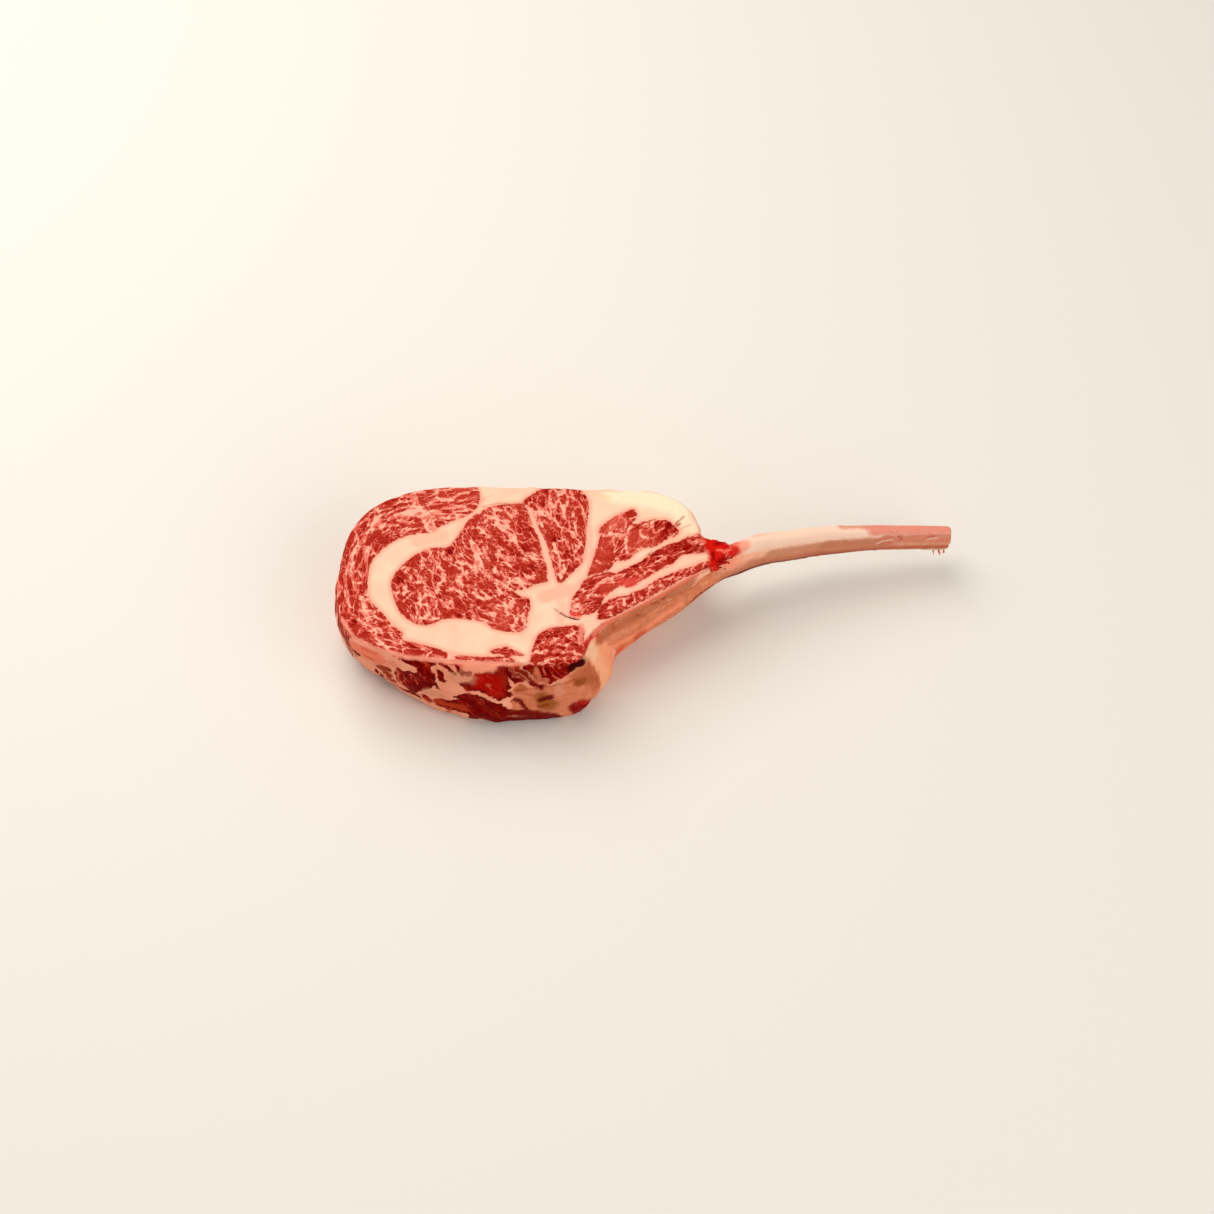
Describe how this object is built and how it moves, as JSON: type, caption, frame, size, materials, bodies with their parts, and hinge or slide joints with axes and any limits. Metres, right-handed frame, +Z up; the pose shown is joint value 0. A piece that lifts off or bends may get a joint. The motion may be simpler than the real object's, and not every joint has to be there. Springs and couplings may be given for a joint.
{
  "type": "raw tomahawk steak",
  "caption": "Thick raw rib steak lying flat: marbled muscles bedded in fat, the rib bone along one side and its long bare end reaching out past the meat.",
  "frame": {"origin": "middle of the whole steak's box, on the surface that it lies on", "axes": "+X along the steak towards the tip of the bare bone, +Y away from the bone side towards the fat edge, +Z up through the thickness"},
  "size_m": [0.3631, 0.1355, 0.0532],
  "materials": {
    "lean_meat": "raw red beef, moist, marbled with thin pale fat",
    "fat": "raw cream and pink fat, smooth and slightly moist",
    "bone": "scraped rib bone, pink and tan, with a thin damp skin"
  },
  "bodies": {
    "root": {"fat": "fat", "rib_bone": "bone", "eye_muscle": "lean_meat", "cap_muscle": "lean_meat", "upper_muscle": "lean_meat", "outer_flank_muscle": "lean_meat", "middle_flank_muscle": "lean_meat", "inner_flank_muscle": "lean_meat", "chine_muscle": "lean_meat"}
  },
  "joints": []
}
